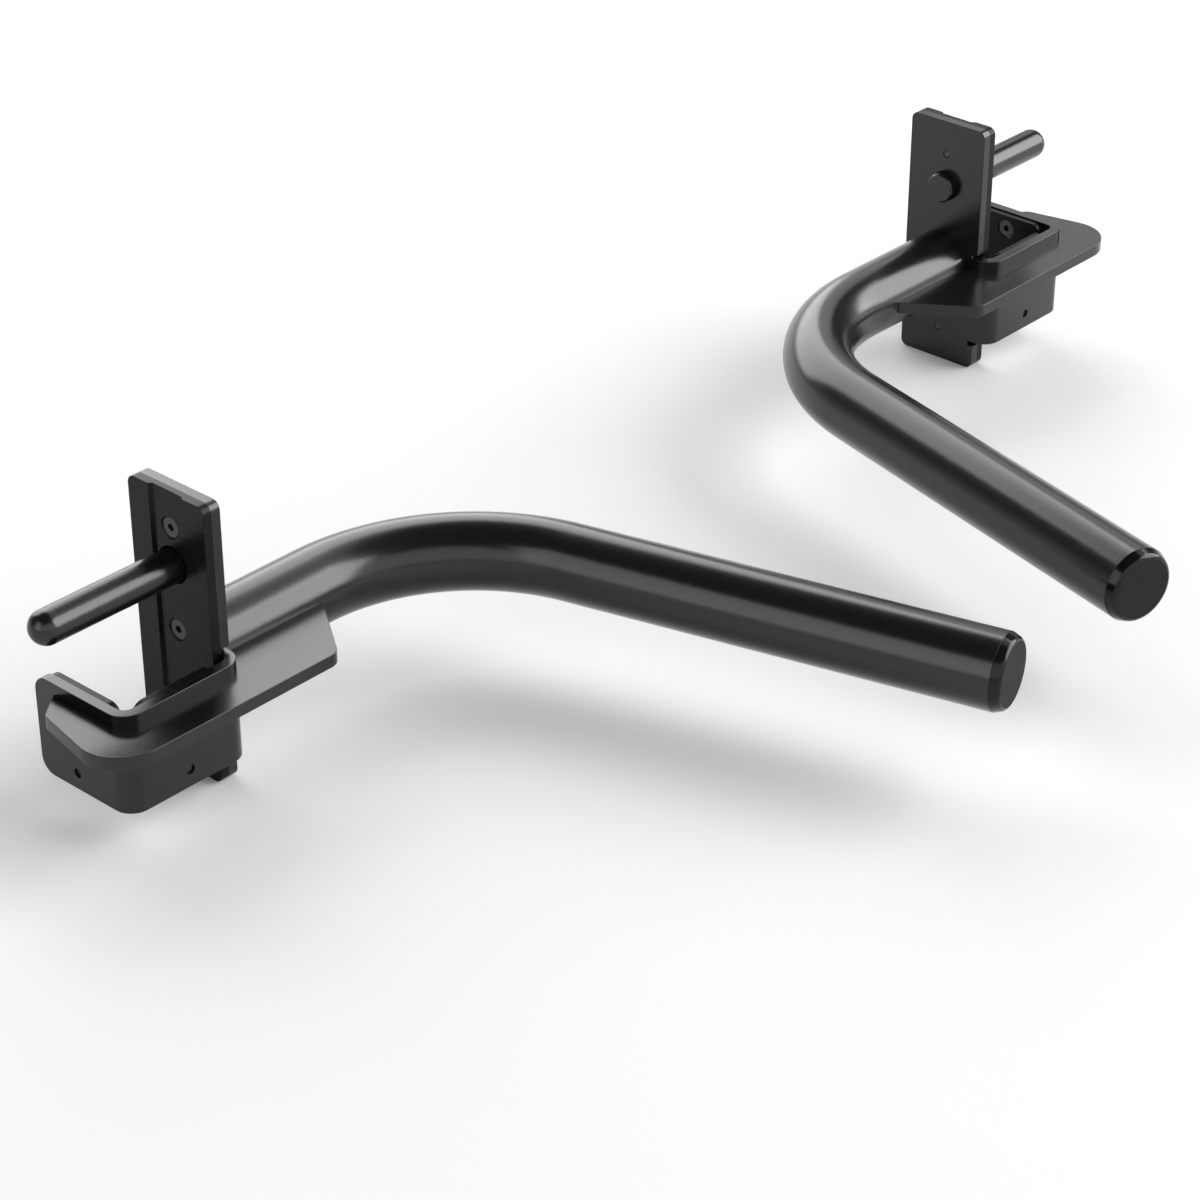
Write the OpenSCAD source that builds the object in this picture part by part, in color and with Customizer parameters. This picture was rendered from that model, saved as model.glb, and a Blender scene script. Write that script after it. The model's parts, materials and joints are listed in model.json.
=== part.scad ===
// Pair of rack-mounted dip handles: two mirrored bent bars, each on a hooked bracket with a rack pin.
// Millimetres, +Z up. The origin is on the left rack pin's axis, where the pin leaves its face liner.
// Each handle is drawn once, as the right one, with +X running out along its rack pin.

/* [Rack] */
// Side of the square rack upright that each bracket hooks round
upright_w = 76; // [60:1:90]
// Distance between the two face liners, which is the inside width of the rack
rack_inside_w = 875; // [780:5:1400]
// Play between the upright and the back liner
depth_play = 2.8; // [1:0.2:5]
// Play between the upright and the side liner
side_play = 0.8; // [0.4:0.1:2]

/* [Mounting plate] */
// How much narrower the flat plate is than the upright
plate_less = 1; // [0:0.5:10]
// Height of the flat plate
plate_h = 215.5; // [210:0.5:240]
// Thickness of the bent steel
steel_t = 8; // [5:0.5:12]
// Corner radius of the plate and its face liner
plate_corner_r = 6.5; // [3:0.5:14]
// Inside radius of the two bends
bend_r = 7; // [4:0.5:8]
// Height of the hooked part's lower edge above the foot of the plate
hook_base = 25; // [20:1:30]
// Height of the hooked part
hook_h = 76.5; // [72:0.5:90]
// Height of the relief notches above and below the hooked part
relief_h = 3.8; // [2:0.2:6]
// Depth of the relief notches, from the plate's edge
relief_d = 6; // [3:0.5:9]

/* [Liners] */
// Thickness of the face liner
face_liner_t = 7; // [6:0.5:10]
// Thickness of the side and back liners
hook_liner_t = 6; // [5.5:0.5:9]
// Depth of the shallow channel down the middle of the face liner
channel_d = 2.3; // [0.5:0.1:2.4]
// Width of the channel's floor
channel_floor_w = 29; // [24:1:36]
// Width of each of the channel's sloping sides
channel_slope_w = 2.5; // [1:0.5:6]
// Distance of the side and back liners from the sides of the steel behind them
liner_side_inset = 2; // [1:0.5:5]
// Distance of the side and back liners from the upper and lower edges of the steel
liner_end_inset = 1.2; // [0.5:0.1:2.5]
// Corner radius of the side and back liners
liner_corner_r = 10; // [3:1:14]

/* [Liner screws] */
// Thread diameter of the countersunk screws
screw_d = 8; // [6:0.5:9]
// Diameter of the screw head
screw_head_d = 15; // [13:0.2:16.4]
// Depth of the screw head below the surface round it
head_sink = 0.8; // [0.2:0.1:1.2]
// Height of the straight edge round the screw head
head_land = 0.2; // [0.1:0.05:0.5]
// Width across the flats of the hex socket
socket_af = 5; // [4:0.5:6]
// Depth of the hex socket
socket_depth = 2.6; // [1.5:0.1:3]
// Distance of the upper and lower face liner screws from the middle one
face_screw_pitch = 79; // [75:1:84]
// Distance between the two screws of the side liner, and of the back liner
hook_screw_pitch = 50; // [40:1:54]
// Depth of the face screws' tips below the outside of the steel
face_tip_sink = 0.4; // [0.3:0.1:1.5]
// Depth of the side and back screws' tips below the outside of the steel
hook_tip_sink = 1.7; // [0.3:0.1:3]

/* [Rack pin] */
// Diameter of the rack pin
pin_d = 25; // [20:0.5:28]
// Height of the rack pin's axis above the foot of the plate
pin_height = 158.5; // [150:0.5:162]
// Reach of the rack pin from the face liner to the tip of its round nose
pin_reach = 119; // [80:1:140]
// Length of the pin's stub on the bar side of the plate
pin_stub = 8; // [3:0.5:12]
// Chamfer at the end of the stub
stub_chamfer = 1.2; // [0.4:0.1:2.5]
// Leg of the weld fillet round the pin's root
pin_weld = 1; // [0.8:0.1:3]
// Radial gap of the face liner round that weld
pin_weld_gap = 0.3; // [0.3:0.1:1]

/* [Dip bar] */
// Outside diameter of the bar
bar_d = 57; // [48:0.5:60]
// Wall thickness of the bar
bar_wall = 3; // [2.5:0.5:5]
// Height of the bar's axis above the foot of the plate
bar_height = 88; // [84:1:92]
// Straight length between the plate and the bend
bar_root = 111.5; // [104:0.5:160]
// Radius of the bend, at the bar's axis
bar_bend_r = 152.5; // [100:0.5:170]
// Angle of the bend
bar_bend_angle = 75; // [70:1:88]
// How much the tube's radius is drawn in through the bend
bend_draw = 0.05; // [0.02:0.01:0.5]
// Straight length of the grip, from the bend to the end cap
bar_grip = 327.5; // [240:0.5:334]

/* [End cap] */
// Length of the cap outside the bar
cap_l = 7.8; // [7:0.1:14]
// Radius of the cap's rounded rim
cap_rim_r = 4.5; // [3:0.5:6.5]
// Slope of the cap's side, which draws in from the bar to the rim
cap_slope = 22; // [5:1:30]
// Thickness of the cap's end face
cap_face_t = 3; // [2:0.5:5]
// Length of the spigot inside the bar
spigot_l = 24; // [18:1:40]
// Wall thickness of the spigot
spigot_wall = 2.5; // [1.5:0.5:4]
// Number of ribs round the spigot
rib_count = 3; // [2:1:4]
// Width of each rib, along the spigot
rib_w = 2; // [1:0.5:3]
// Height of the ribs above the spigot
rib_h = 1; // [0.5:0.1:1.5]
// Chamfer on each side of the seam between the cap and the bar
seam_chamfer = 0.2; // [0.2:0.1:0.8]

/* [Gusset] */
// Thickness of the gusset plate
gusset_t = 10; // [6:0.5:12]
// Depth of the gusset's upper face below the upper edge of the hooked part
gusset_drop = 8.5; // [7:0.5:10]
// Distance that the gusset stands out from the side wall
gusset_out = 30.5; // [20:0.5:34]
// Width of the gusset's leg beside the back flange, level with the side wall
gusset_leg_w = 32; // [24:0.5:40]
// Length of the leg along the back flange, from the side wall to its sloping end
gusset_leg_l = 54.5; // [44:0.5:60]
// Taper of the leg's outer edge
gusset_taper = 11.5; // [5:0.5:14]
// Slope of the leg's end
gusset_end_slope = 37.5; // [30:0.5:45]
// Length of the gusset's seat along the bar
gusset_tail = 95; // [70:1:98]
// Slope of the gusset's end beside the bar
gusset_tail_slope = 55; // [45:1:70]
// Radius of the gusset's big outer corner
gusset_corner_r = 32; // [20:1:36]
// Radius of the gusset's corner beside the bar
gusset_tail_r = 12; // [6:1:16]
// Radius of the gusset's corner beside the flange
gusset_end_r = 8; // [4:1:10]

/* [Fits] */
// Radial gap between a pin, spigot, thread or screw head and its hole
fit_gap = 0.1; // [0.05:0.05:0.2]
// Radial gap round a screw's neck in its liner
neck_gap = 0.3; // [0.2:0.1:0.5]

/* [Hidden] */
PIECES = [
    "mounting_plate", "gusset", "rack_pin", "dip_bar", "end_cap", "face_liner", "side_liner", "back_liner",
    "face_liner_screws", "side_liner_screws", "back_liner_screws"
];
$fn = 96;
coat_black = [0.05, 0.05, 0.055];
liner_black = [0.07, 0.07, 0.075];
cap_black = [0.06, 0.06, 0.06];
screw_black = [0.1, 0.1, 0.1];
// Overlap of a cutter past the face that it cuts
past = 1;
// Length of the straight tube that is drawn past each end of the bend
bend_lap = 0.5;
// Core diameter of a coarse thread, as a share of its outside diameter
core_share = 0.85;

// Heights, counted from the rack pin's axis
foot = -pin_height;
hook_z0 = foot + hook_base;
hook_z1 = hook_z0 + hook_h;
hook_mid = (hook_z0 + hook_z1) / 2;
plate_mid = foot + plate_h / 2;
bar_z = foot + bar_height;
gusset_z1 = hook_z1 - gusset_drop;
gusset_z0 = gusset_z1 - gusset_t;

// Faces of the steel, counted from the face liner's outside and from the rack pin's axis
plate_edge = (upright_w - plate_less) / 2;
plate_out = -face_liner_t;
plate_in = plate_out - steel_t;
wall_in = -(upright_w / 2 + side_play + hook_liner_t);
wall_out = wall_in - steel_t;
flange_in = upright_w + depth_play + hook_liner_t;
flange_out = flange_in + steel_t;
bend_out = bend_r + steel_t;
bend_y = wall_in + bend_r;
plate_bend_x = plate_out + bend_r;
flange_bend_x = flange_in - bend_r;
wall_mid_x = (plate_bend_x + flange_bend_x) / 2;

// The back flange's free corners run level with those of its liner
flange_corner_r = liner_corner_r + liner_side_inset;
// The face liner stops where the bend starts
face_liner_edge = max(-plate_edge, bend_y);
face_liner_floor = face_liner_t - channel_d;

// Radii that fit one another
pin_r = pin_d / 2;
bar_r = bar_d / 2;
bore_r = bar_r - bar_wall;
rib_r = bore_r - fit_gap;
spigot_r = rib_r - rib_h;
cap_bore_r = spigot_r - spigot_wall;
screw_r = screw_d / 2;
core_r = core_share * screw_r;
head_r = screw_head_d / 2;
sink_r = head_r + fit_gap;

// Corners of the gusset, counted as the steel's faces are
gusset_y = wall_out - gusset_out;
leg_x = flange_out + gusset_leg_w;
leg_y = wall_out + gusset_leg_l;
leg_end_x = leg_x - gusset_leg_l * tan(gusset_taper);
leg_root_x = (flange_in + flange_out) / 2;
leg_root_y = leg_y + (leg_end_x - leg_root_x) * tan(gusset_end_slope);
tail_root_y = -bar_r / 2;

// Where the gusset's end beside the bar passes a given distance from the rack pin's axis
function tail_x(y) = plate_in - gusset_tail - (bar_r + y) / tan(gusset_tail_slope);

// Corner of an outline, rounded: the two points where the round meets the sides, and its centre
function unit(v) = v / norm(v);
function corner_half(a, b, c) = acos(unit(a - b) * unit(c - b)) / 2;
function corner_cut(a, b, c, r) = r / tan(corner_half(a, b, c));
function corner_ends(a, b, c, r) = [
    b + unit(a - b) * corner_cut(a, b, c, r),
    b + unit(c - b) * corner_cut(a, b, c, r)
];
function corner_centre(a, b, c, r) =
    b + unit(unit(a - b) + unit(c - b)) * r / sin(corner_half(a, b, c));
function before(p, k) = p[(k + len(p) - 1) % len(p)];
function after(p, k) = p[(k + 1) % len(p)];

// Convex outline with a round of its own at each corner, or none where its radius is 0
module rounded_outline(points, radii) {
    polygon([
        for (k = [0 : len(points) - 1])
            each radii[k] > 0
                ? corner_ends(before(points, k), points[k], after(points, k), radii[k])
                : [points[k]]
    ]);
    for (k = [0 : len(points) - 1])
        if (radii[k] > 0)
            translate(corner_centre(before(points, k), points[k], after(points, k), radii[k]))
                circle(r = radii[k]);
}

// Rectangle between two corners
module area(low, high) {
    translate(low)
        square(high - low);
}

// Rectangle between two corners, with radii from its low corner on, anticlockwise
module rounded_area(low, high, radii) {
    rounded_outline([low, [high.x, low.y], high, [low.x, high.y]], radii);
}

// Places children with their X along Y, their Y up, and their Z out of the plate's face
module on_plate(x) {
    translate([x, 0, 0])
        rotate([90, 0, 90])
            children();
}

// Places children in the middle of the side wall's inner face, with Y up and Z out of it
module on_side_wall() {
    translate([wall_mid_x, wall_in, hook_mid])
        rotate([90, 0, 180])
            children();
}

// Places children in the middle of the back flange's inner face, with Y up and Z out of it
module on_back_flange() {
    translate([flange_in, 0, hook_mid])
        rotate([90, 0, -90])
            children();
}

// The three screws of the face liner
module at_face_screws() {
    for (k = [-1 : 1])
        translate([0, plate_mid + k * face_screw_pitch, 0])
            children();
}

// The two screws of the side liner, and of the back liner
module at_hook_screws() {
    for (k = [-1, 1])
        translate([0, k * hook_screw_pitch / 2, 0])
            children();
}

// Recess for a screw head that is sunk below z = 0: one cone that opens out above the head
module head_recess() {
    cone_h = sink_r - screw_r + head_land + head_sink + past;
    translate([0, 0, past - cone_h])
        cylinder(r1 = screw_r, r2 = screw_r + cone_h, h = cone_h);
}

// Hole through a liner whose outside is at z = 0
module liner_hole(floor_t) {
    head_recess();
    translate([0, 0, -floor_t - past])
        cylinder(r = screw_r + neck_gap, h = floor_t + past);
}

// Tapped hole through the steel under a liner, opened out where a screw head reaches into it
module steel_hole(floor_t) {
    translate([0, 0, floor_t])
        head_recess();
    translate([0, 0, -steel_t - past])
        cylinder(r = core_r + fit_gap, h = steel_t + past);
}

// Countersunk screw that stands on the steel at z = 0, for a given thickness of liner and depth of its tip
module liner_screw(floor_t, tip_sink) {
    cone_h = head_r - screw_r;
    head_z = floor_t - head_sink;
    color(screw_black)
        difference() {
            union() {
                translate([0, 0, head_z - head_land])
                    cylinder(r = head_r, h = head_land);
                translate([0, 0, head_z - head_land - cone_h])
                    cylinder(r1 = screw_r, r2 = head_r, h = cone_h);
                cylinder(r = screw_r, h = head_z - head_land);
                translate([0, 0, tip_sink - steel_t])
                    cylinder(r = core_r, h = steel_t);
            }
            translate([0, 0, head_z - socket_depth])
                cylinder(d = socket_af / cos(30), h = socket_depth + past, $fn = 6);
        }
}

// Quarter of a ring, for one bend of the steel, turned anticlockwise from the first quadrant
module bend_ring(turn) {
    rotate(turn)
        intersection() {
            difference() {
                circle(r = bend_out);
                circle(r = bend_r);
            }
            square(bend_out);
        }
}

// The hooked part seen from above: flat, bend, side wall, bend, back flange
module hook_plan() {
    area([plate_in, bend_y], [plate_out, 0]);
    translate([plate_bend_x, bend_y])
        bend_ring(180);
    area([plate_bend_x, wall_out], [flange_bend_x, wall_in]);
    translate([flange_bend_x, bend_y])
        bend_ring(270);
    area([flange_in, bend_y], [flange_out, plate_edge]);
}

// The hooked part seen along the pin, with the back flange's free corners rounded
module hook_elevation() {
    rounded_area(
        [wall_out - past, hook_z0], [plate_edge, hook_z1],
        [0, flange_corner_r, flange_corner_r, 0]
    );
}

// Outline of the flat plate
module plate_outline() {
    rounded_area(
        [-plate_edge, foot], [plate_edge, foot + plate_h],
        [for (k = [1 : 4]) plate_corner_r]
    );
}

// Notch with a round end in the plate's edge, from a given height up
module relief_notch(z0) {
    r = relief_h / 2;
    end_y = relief_d - plate_edge - r;
    on_plate(plate_in - past)
        linear_extrude(steel_t + 2 * past) {
            area([wall_out, z0], [end_y, z0 + relief_h]);
            translate([end_y, z0 + r])
                circle(r = r);
        }
}

// Steel plate with its hooked part, in one piece
module mounting_plate() {
    color(coat_black)
        difference() {
            union() {
                on_plate(plate_in)
                    linear_extrude(steel_t)
                        plate_outline();
                intersection() {
                    translate([0, 0, hook_z0])
                        linear_extrude(hook_h)
                            hook_plan();
                    on_plate(plate_in - past)
                        linear_extrude(flange_out - plate_in + 2 * past)
                            hook_elevation();
                }
            }
            relief_notch(hook_z1);
            relief_notch(hook_z0 - relief_h);
            on_plate(plate_in - past)
                cylinder(r = pin_r + fit_gap, h = steel_t + 2 * past);
            on_plate(plate_out)
                at_face_screws()
                    steel_hole(face_liner_floor);
            on_side_wall()
                at_hook_screws()
                    steel_hole(hook_liner_t);
            on_back_flange()
                at_hook_screws()
                    steel_hole(hook_liner_t);
        }
}

// Outline of the gusset, carried on into the steel and the bar, which then cut it
module gusset_outline() {
    rounded_outline(
        [
            [tail_x(tail_root_y), tail_root_y],
            [tail_x(gusset_y), gusset_y],
            [leg_x + gusset_out * tan(gusset_taper), gusset_y],
            [leg_end_x, leg_y],
            [leg_root_x, leg_root_y]
        ],
        [0, gusset_tail_r, gusset_corner_r, gusset_end_r, 0]
    );
}

// Flat gusset that wraps the hooked part and runs along the bar
module gusset() {
    color(coat_black)
        difference() {
            translate([0, 0, gusset_z0])
                linear_extrude(gusset_t)
                    gusset_outline();
            translate([0, 0, gusset_z0 - past])
                linear_extrude(gusset_t + 2 * past)
                    rounded_area(
                        [plate_in, wall_out], [flange_out, leg_root_y + past],
                        [bend_out, bend_out, 0, 0]
                    );
            bar_run(bar_r + fit_gap, past);
        }
}

// Round pin through the plate and its liner, with a bullet nose, a chamfered stub and a weld at its root
module rack_pin() {
    nose_x = pin_reach - pin_r;
    stub_x = plate_in - pin_stub;
    color(coat_black)
        on_plate(0) {
            translate([0, 0, stub_x])
                cylinder(r1 = pin_r - stub_chamfer, r2 = pin_r, h = stub_chamfer);
            translate([0, 0, stub_x + stub_chamfer])
                cylinder(r = pin_r, h = nose_x - stub_x - stub_chamfer);
            translate([0, 0, nose_x])
                sphere(r = pin_r);
            translate([0, 0, plate_out])
                cylinder(r1 = pin_r + pin_weld, r2 = pin_r, h = pin_weld);
        }
}

// The centre of the bar's bend
module at_bend_centre() {
    translate([plate_in - bar_root, -bar_bend_r, bar_z])
        children();
}

// Where the grip leaves the bend, with Z along the grip
module at_bend_end() {
    at_bend_centre()
        rotate([0, 0, bar_bend_angle])
            translate([0, bar_bend_r, 0])
                rotate([0, -90, 0])
                    children();
}

// Solid run along the bar's axis, longer at both ends by a given amount.
// The straights lap over the ends of the bend, where the tube is drawn in.
module bar_run(r, more) {
    translate([plate_in + more, 0, bar_z])
        rotate([0, -90, 0])
            cylinder(r = r, h = more + bar_root + bend_lap);
    at_bend_centre()
        rotate([0, 0, 90])
            rotate_extrude(angle = bar_bend_angle)
                translate([bar_bend_r, 0])
                    circle(r = r - bend_draw);
    at_bend_end()
        translate([0, 0, -bend_lap])
            cylinder(r = r, h = bend_lap + bar_grip + more);
}

// The bar's open end, with Z out of it
module at_bar_end() {
    at_bend_end()
        translate([0, 0, bar_grip])
            children();
}

// Bent tube that the hand and forearm press on
module dip_bar() {
    color(coat_black)
        difference() {
            bar_run(bar_r, 0);
            bar_run(bore_r, past);
            at_bar_end()
                rotate_extrude()
                    polygon([
                        [bar_r - seam_chamfer, 0], [bar_r + past, -seam_chamfer - past],
                        [bar_r + past, past], [bar_r - seam_chamfer, past]
                    ]);
        }
}

// Half section of the end cap: a sloping side and a rounded rim outside the bar, a ribbed hollow spigot inside
module cap_section() {
    rim_z = cap_l - cap_rim_r;
    rim_x = bar_r - (cap_rim_r + (rim_z - seam_chamfer) * sin(cap_slope)) / cos(cap_slope);
    side_end = [rim_x, rim_z] + cap_rim_r * [cos(cap_slope), sin(cap_slope)];
    pitch = spigot_l / rib_count;
    difference() {
        union() {
            area([0, 0], [rim_x, cap_l]);
            polygon([[0, 0], [bar_r - seam_chamfer, 0], [bar_r, seam_chamfer], side_end, [0, side_end[1]]]);
            intersection() {
                translate([rim_x, rim_z])
                    circle(r = cap_rim_r);
                area([0, side_end[1]], [bar_r, cap_l]);
            }
            area([0, -spigot_l], [spigot_r, 0]);
            for (k = [1 : rib_count])
                translate([0, -k * pitch])
                    area([0, rib_w / 2], [rib_r, 3 * rib_w / 2]);
        }
        area([0, -spigot_l - past], [cap_bore_r, cap_l - cap_face_t]);
    }
}

// Plastic cap in the bar's open end
module end_cap() {
    color(cap_black)
        at_bar_end()
            rotate_extrude()
                cap_section();
}

// Plastic liner on the plate's face, with its channel, pin hole and countersinks
module face_liner() {
    floor_half = channel_floor_w / 2;
    mouth_half = floor_half + channel_slope_w;
    color(liner_black)
        difference() {
            on_plate(plate_out)
                linear_extrude(face_liner_t)
                    rounded_area(
                        [face_liner_edge, foot], [plate_edge, foot + plate_h],
                        [for (k = [1 : 4]) plate_corner_r]
                    );
            translate([0, 0, foot - past])
                linear_extrude(plate_h + 2 * past)
                    polygon([
                        [-channel_d, -floor_half], [-channel_d, floor_half],
                        [0, mouth_half], [past, mouth_half],
                        [past, -mouth_half], [0, -mouth_half]
                    ]);
            on_plate(plate_out - past)
                cylinder(r = pin_r + pin_weld + pin_weld_gap, h = face_liner_t + 2 * past);
            on_plate(-channel_d)
                at_face_screws()
                    liner_hole(face_liner_floor);
        }
}

// Plastic liner of the hooked part, centred on the steel at z = 0, with its two countersinks
module hook_liner() {
    half = [plate_edge - liner_side_inset, hook_h / 2 - liner_end_inset];
    color(liner_black)
        difference() {
            linear_extrude(hook_liner_t)
                rounded_area(-half, half, [for (k = [1 : 4]) liner_corner_r]);
            translate([0, 0, hook_liner_t])
                at_hook_screws()
                    liner_hole(hook_liner_t);
        }
}

// Liner on the inside of the side wall
module side_liner() {
    on_side_wall()
        hook_liner();
}

// Liner on the inside of the back flange
module back_liner() {
    on_back_flange()
        hook_liner();
}

// Screws of the face liner
module face_liner_screws() {
    on_plate(plate_out)
        at_face_screws()
            liner_screw(face_liner_floor, face_tip_sink);
}

// Screws of the side liner
module side_liner_screws() {
    on_side_wall()
        at_hook_screws()
            liner_screw(hook_liner_t, hook_tip_sink);
}

// Screws of the back liner
module back_liner_screws() {
    on_back_flange()
        at_hook_screws()
            liner_screw(hook_liner_t, hook_tip_sink);
}

// The right handle stands across the rack from the origin
module right() {
    translate([rack_inside_w, 0, 0])
        children();
}

// The left handle is its mirror image, with its pin running to -X
module left() {
    mirror([1, 0, 0])
        children();
}

left() mounting_plate();  // left_mounting_plate
left() gusset();  // left_gusset
left() rack_pin();  // left_rack_pin
left() dip_bar();  // left_dip_bar
left() end_cap();  // left_end_cap
left() face_liner();  // left_face_liner
left() side_liner();  // left_side_liner
left() back_liner();  // left_back_liner
left() face_liner_screws();  // left_face_liner_screws
left() side_liner_screws();  // left_side_liner_screws
left() back_liner_screws();  // left_back_liner_screws
right() mounting_plate();  // right_mounting_plate
right() gusset();  // right_gusset
right() rack_pin();  // right_rack_pin
right() dip_bar();  // right_dip_bar
right() end_cap();  // right_end_cap
right() face_liner();  // right_face_liner
right() side_liner();  // right_side_liner
right() back_liner();  // right_back_liner
right() face_liner_screws();  // right_face_liner_screws
right() side_liner_screws();  // right_side_liner_screws
right() back_liner_screws();  // right_back_liner_screws
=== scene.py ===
# %% [markdown]
# # Two dip handles for a power rack
# The object is a pair of loose, mirrored handles. Each has a bent round bar that the hand and forearm press
# on, welded to a bracket of bent steel. The bracket hooks round a square upright of the rack, plastic liners
# keep it from scratching that upright, and a round pin goes into one of the upright's holes.
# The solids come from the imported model, so this script only gives the pieces their finish and their fine
# shapes: rounded edges, eased sockets, a smooth bar. Everything is in metres, in the model's own frame.

# %% The frame
import json
import math
import bpy
import bmesh
from mathutils import Matrix, Vector

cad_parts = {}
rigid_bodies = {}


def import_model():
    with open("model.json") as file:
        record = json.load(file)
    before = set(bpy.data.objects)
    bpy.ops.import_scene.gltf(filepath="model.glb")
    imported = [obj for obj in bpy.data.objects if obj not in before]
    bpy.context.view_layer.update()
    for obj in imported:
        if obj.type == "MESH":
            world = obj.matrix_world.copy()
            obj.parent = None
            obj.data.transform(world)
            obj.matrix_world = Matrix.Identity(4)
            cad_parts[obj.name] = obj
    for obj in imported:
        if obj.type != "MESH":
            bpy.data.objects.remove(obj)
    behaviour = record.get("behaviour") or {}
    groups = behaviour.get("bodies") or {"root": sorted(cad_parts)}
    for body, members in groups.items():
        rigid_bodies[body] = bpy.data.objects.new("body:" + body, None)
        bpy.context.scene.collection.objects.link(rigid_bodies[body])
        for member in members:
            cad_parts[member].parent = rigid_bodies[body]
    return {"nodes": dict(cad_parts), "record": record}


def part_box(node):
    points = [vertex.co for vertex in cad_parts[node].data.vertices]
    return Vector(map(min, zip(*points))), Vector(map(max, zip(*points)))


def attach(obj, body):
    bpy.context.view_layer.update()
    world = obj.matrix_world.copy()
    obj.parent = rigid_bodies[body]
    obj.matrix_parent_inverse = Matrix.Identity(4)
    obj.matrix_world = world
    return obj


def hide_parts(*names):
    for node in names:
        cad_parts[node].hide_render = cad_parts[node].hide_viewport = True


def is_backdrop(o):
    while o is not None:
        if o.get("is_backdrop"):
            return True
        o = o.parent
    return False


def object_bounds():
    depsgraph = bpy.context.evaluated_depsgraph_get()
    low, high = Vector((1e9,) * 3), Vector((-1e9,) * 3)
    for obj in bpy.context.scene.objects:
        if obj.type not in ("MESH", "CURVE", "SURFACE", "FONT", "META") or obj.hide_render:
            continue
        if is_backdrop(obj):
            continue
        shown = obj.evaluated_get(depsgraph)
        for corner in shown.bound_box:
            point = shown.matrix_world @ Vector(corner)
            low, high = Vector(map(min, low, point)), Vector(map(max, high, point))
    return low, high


for leftover in list(bpy.data.objects):
    bpy.data.objects.remove(leftover)
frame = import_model()
cad_low, cad_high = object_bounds()
print("CAD box, metres:", [round(v, 4) for v in cad_high - cad_low])

# %% [markdown]
# One handle is drawn once, in its own coordinates: the origin is where the rack pin leaves the face liner,
# +X runs out along the pin and +Y runs back, away from the grips. A matrix then takes it to its place. The
# left handle is the mirror image, so its matrix has -1 for X, and a mirrored mesh has its faces turned back.

# %% Left and right
MM = 0.001
MIRROR = {"left": -1, "right": 1}
PIN_AT = {mount["name"]: Vector(mount["pos_m"]) for mount in frame["record"]["mounts"]}


def place(side):
    """Matrix from a handle's own coordinates to the part's."""
    return Matrix.Translation(PIN_AT[side + "_rack_pin"]) @ Matrix.Diagonal((MIRROR[side], 1, 1, 1))


for side in MIRROR:
    print(side, "handle starts at", [round(v, 4) for v in place(side).translation])

# %% [markdown]
# ## The camera
# The photograph was taken with a long lens, from the front left and well above. Its place and lens were
# solved from the straight edges of the two brackets, whose sizes are known. Blender's camera looks along its
# own -Z, so its matrix is made of the right, up and backward directions.

# %% Camera
PHOTO_SIDE = 1200
FOCAL_PIXELS = 3268.35
SENSOR_MM = 36
YAW = 0.83582
PITCH = -0.53133
ROLL = -0.0015
CAMERA_AT = Vector((-1.21383, -1.48468, 1.0875))
camera_data = bpy.data.cameras.new("camera")
camera_data.sensor_width = SENSOR_MM
camera_data.lens = FOCAL_PIXELS * SENSOR_MM / PHOTO_SIDE
camera_data.clip_start = 0.05
camera_data.clip_end = 100
camera = bpy.data.objects.new("camera", camera_data)
bpy.context.scene.collection.objects.link(camera)
bpy.context.scene.camera = camera
forward = Vector((math.sin(YAW) * math.cos(PITCH), math.cos(YAW) * math.cos(PITCH), math.sin(PITCH)))
level_right = Vector((math.cos(YAW), -math.sin(YAW), 0))
level_up = level_right.cross(forward)
right = math.cos(ROLL) * level_right + math.sin(ROLL) * level_up
up = math.cos(ROLL) * level_up - math.sin(ROLL) * level_right
camera.matrix_world = Matrix.LocRotScale(CAMERA_AT, Matrix((right, up, -forward)).transposed(), None)
print("lens, mm:", round(camera_data.lens, 2))

# %% [markdown]
# ## The light
# Black glossy pieces show little of their own colour: what is seen is the reflection of the studio. So the
# lamps are large softboxes that stand where the photograph's reflections say: a bright one to the right, a
# broad one behind and nearer, its dim spill beside it, a narrow strip high up on the right, a weaker one to
# the left, and a faint fill behind the camera. Each is given by its direction, its width and height as
# angles, its distance in metres, and how bright its face is, where 1 is white. An area lamp's power is spread
# over its face and a half space, so it follows from face area and brightness.

# %% Softboxes
LOOK_AT = Vector((0.4375, -0.2, -0.07))
POWER_PER_BRIGHTNESS = math.pi
SOFTBOXES = {
    "right_softbox": {"turn": 128, "height": 28, "spans": (52, 44), "off": 8, "brightness": 6.8},
    "back_softbox": {"turn": 20.5, "height": 30, "spans": (54, 44), "off": 5, "brightness": 3.9},
    "back_spill": {"turn": 61, "height": 36, "spans": (16, 36), "off": 8, "brightness": 1.1},
    "high_strip": {"turn": 92, "height": 54, "spans": (60, 18), "off": 8, "brightness": 1.4},
    "left_softbox": {"turn": 276, "height": 25, "spans": (28, 40), "off": 8, "brightness": 2.1},
    "front_fill": {"turn": 205, "height": 26, "spans": (110, 36), "off": 8, "brightness": 1.2},
}


def toward(turn, height):
    """Direction at a turn clockwise from +Y and a height above the horizon, in degrees."""
    turn = math.radians(turn)
    height = math.radians(height)
    flat = math.cos(height)
    return Vector((math.sin(turn) * flat, math.cos(turn) * flat, math.sin(height)))


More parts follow.
